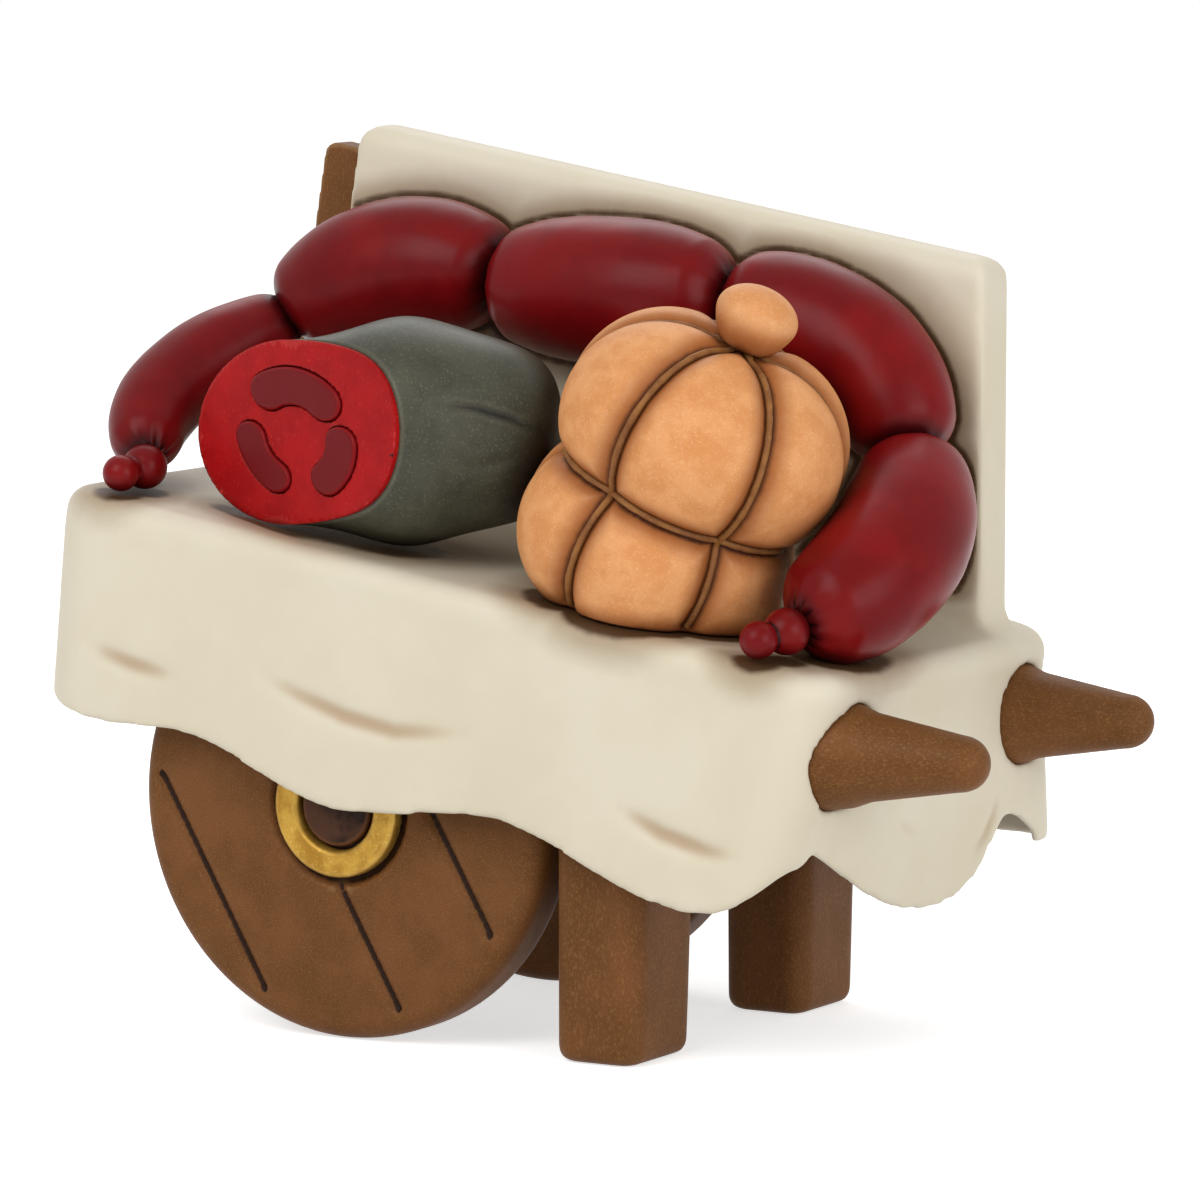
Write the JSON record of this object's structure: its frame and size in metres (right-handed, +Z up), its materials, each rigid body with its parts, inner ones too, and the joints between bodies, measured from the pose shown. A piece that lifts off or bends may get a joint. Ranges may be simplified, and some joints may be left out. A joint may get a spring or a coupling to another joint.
{
  "type": "food cart",
  "caption": "Miniature ceramic handcart stall on disc wheels and block legs, draped with a stiff cloth and laden with a sausage string, a cut salami and a tied cheese.",
  "frame": {"origin": "on the ground, under the middle of the box round the whole cart", "axes": "+X along the cart towards its handles, +Y towards the backboard, +Z up"},
  "size_m": [0.1178, 0.0633, 0.1006],
  "materials": {
    "cloth": "cream paint with a brown antique wash, satin",
    "wood_paint": "speckled brown paint, satin",
    "gold_paint": "gold metallic paint",
    "sausage_skin": "burgundy glaze, satin gloss",
    "salami_casing": "speckled grey-green paint, satin",
    "salami_meat": "bright red paint, matt",
    "salami_inlay": "dark red glaze, gloss",
    "cheese": "orange-tan speckled paint, matt",
    "cheese_twine": "brown paint, matt"
  },
  "bodies": {
    "cart": {"axle": "wood_paint", "back_axle_bracket": "wood_paint", "back_axle_cap": "wood_paint", "back_handle": "wood_paint", "back_left_plank": "wood_paint", "back_leg": "wood_paint", "back_rail": "wood_paint", "back_right_plank": "wood_paint", "back_washer": "wood_paint", "backboard_plank_1": "wood_paint", "backboard_plank_2": "wood_paint", "backboard_plank_3": "wood_paint", "cheese_body": "cheese", "cheese_knob": "cheese", "cheese_twine": "cheese_twine", "cloth_cover": "cloth", "deck_plank_1": "wood_paint", "deck_plank_2": "wood_paint", "deck_plank_3": "wood_paint", "deck_plank_4": "wood_paint", "front_axle_bracket": "wood_paint", "front_axle_cap": "wood_paint", "front_handle": "wood_paint", "front_left_plank": "wood_paint", "front_leg": "wood_paint", "front_rail": "wood_paint", "front_right_plank": "wood_paint", "front_washer": "wood_paint", "left_end_beam": "wood_paint", "left_sausage_knot": "sausage_skin", "left_stake": "wood_paint", "right_end_beam": "wood_paint", "right_sausage_knot": "sausage_skin", "right_stake": "wood_paint", "salami_casing": "salami_casing", "salami_cut_face": "salami_meat", "salami_inlays": "salami_inlay", "sausage_link_1": "sausage_skin", "sausage_link_2": "sausage_skin", "sausage_link_3": "sausage_skin", "sausage_link_4": "sausage_skin", "sausage_link_5": "sausage_skin"},
    "front_wheel_set": {"front_wheel": "wood_paint", "front_hub_ring": "gold_paint"},
    "back_wheel_set": {"back_wheel": "wood_paint", "back_hub_ring": "gold_paint"}
  },
  "joints": [
    {"name": "front_wheel_spin", "type": "hinge", "parent": "cart", "child": "front_wheel_set", "pos_m": [-0.0195, -0.02215, 0.0265], "axis": [0, 1, 0], "continuous": true},
    {"name": "back_wheel_spin", "type": "hinge", "parent": "cart", "child": "back_wheel_set", "pos_m": [-0.0195, 0.02215, 0.0265], "axis": [0, 1, 0], "continuous": true}
  ]
}
